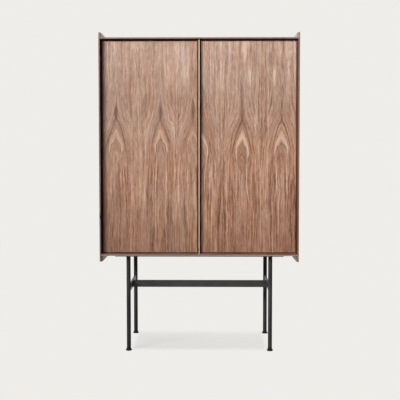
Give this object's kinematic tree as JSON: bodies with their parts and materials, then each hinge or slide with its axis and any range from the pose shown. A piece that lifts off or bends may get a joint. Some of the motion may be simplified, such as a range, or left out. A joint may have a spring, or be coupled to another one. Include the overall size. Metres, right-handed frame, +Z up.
{
  "type": "highboard",
  "caption": "Tall walnut cabinet with two inset push-to-open doors behind bevelled panel edges, adjustable shelves inside, on a thin black steel base with round legs.",
  "frame": {"origin": "on the floor under the middle of the case", "axes": "+Z up, -Y towards the front, which the doors face, +X to the right seen from the front"},
  "size_m": [1, 0.45, 1.61],
  "materials": {
    "walnut_veneer": "satin lacquered walnut veneer, grain upright",
    "walnut_interior": "matt lacquered walnut veneer",
    "beech": "plain fluted beech",
    "black_steel": "satin black powder coat",
    "black_plastic": "matt black moulded plastic",
    "zinc_steel": "bright zinc plate",
    "dark_steel": "black oxide",
    "grey_plastic": "matt grey moulded plastic",
    "white_plastic": "matt white moulded plastic",
    "magnet": "bright nickel plate",
    "silicone": "soft translucent silicone",
    "felt": "pressed dark grey felt"
  },
  "bodies": {
    "case": {"left_side_panel": "walnut_veneer", "right_side_panel": "walnut_veneer", "top_panel": "walnut_veneer", "bottom_panel": "walnut_veneer", "centre_divider": "walnut_veneer", "back_panel": "walnut_interior", "left_fixing_rail": "walnut_interior", "right_fixing_rail": "walnut_interior", "case_dowels": "beech", "left_shelf_1": "walnut_interior", "left_shelf_2": "walnut_interior", "left_shelf_3": "walnut_interior", "right_shelf_1": "walnut_interior", "right_shelf_2": "walnut_interior", "right_shelf_3": "walnut_interior", "left_shelf_pins": "zinc_steel", "right_shelf_pins": "zinc_steel", "left_pivot_bushes": "black_plastic", "right_pivot_bushes": "black_plastic", "left_latch_housing": "grey_plastic", "right_latch_housing": "grey_plastic", "latch_screws": "zinc_steel", "door_stops": "walnut_interior", "door_stop_buffers": "silicone", "front_frame_rail": "black_steel", "rear_frame_rail": "black_steel", "left_frame_tie": "black_steel", "right_frame_tie": "black_steel", "front_left_leg": "black_steel", "front_right_leg": "black_steel", "rear_left_leg": "black_steel", "rear_right_leg": "black_steel", "left_stretcher": "black_steel", "right_stretcher": "black_steel", "cross_stretcher": "black_steel", "front_left_foot": "black_plastic", "front_right_foot": "black_plastic", "rear_left_foot": "black_plastic", "rear_right_foot": "black_plastic", "foot_pads": "felt", "base_screws": "zinc_steel"},
    "left_door": {"left_door": "walnut_veneer", "left_pivot_pins": "dark_steel", "left_pivot_screws": "dark_steel", "left_strike_plate": "zinc_steel", "left_strike_screw": "zinc_steel"},
    "right_door": {"right_door": "walnut_veneer", "right_pivot_pins": "dark_steel", "right_pivot_screws": "dark_steel", "right_strike_plate": "zinc_steel", "right_strike_screw": "zinc_steel"},
    "left_latch_plunger": {"left_latch_plunger": "white_plastic", "left_latch_magnet": "magnet"},
    "right_latch_plunger": {"right_latch_plunger": "white_plastic", "right_latch_magnet": "magnet"}
  },
  "joints": [
    {"name": "left_door_hinge", "type": "hinge", "parent": "case", "child": "left_door", "pos_m": [-0.465, -0.1875, 0.51], "axis": [0, 0, -1], "range_deg": [0, 105]},
    {"name": "right_door_hinge", "type": "hinge", "parent": "case", "child": "right_door", "pos_m": [0.465, -0.1875, 0.51], "axis": [0, 0, 1], "range_deg": [0, 105]},
    {"name": "left_latch_press", "type": "slide", "parent": "case", "child": "left_latch_plunger", "axis": [0, 1, 0], "range_m": [0, 0.003], "stiffness_N_per_m": 800, "springref_m": -0.004},
    {"name": "right_latch_press", "type": "slide", "parent": "case", "child": "right_latch_plunger", "axis": [0, 1, 0], "range_m": [0, 0.003], "stiffness_N_per_m": 800, "springref_m": -0.004}
  ]
}
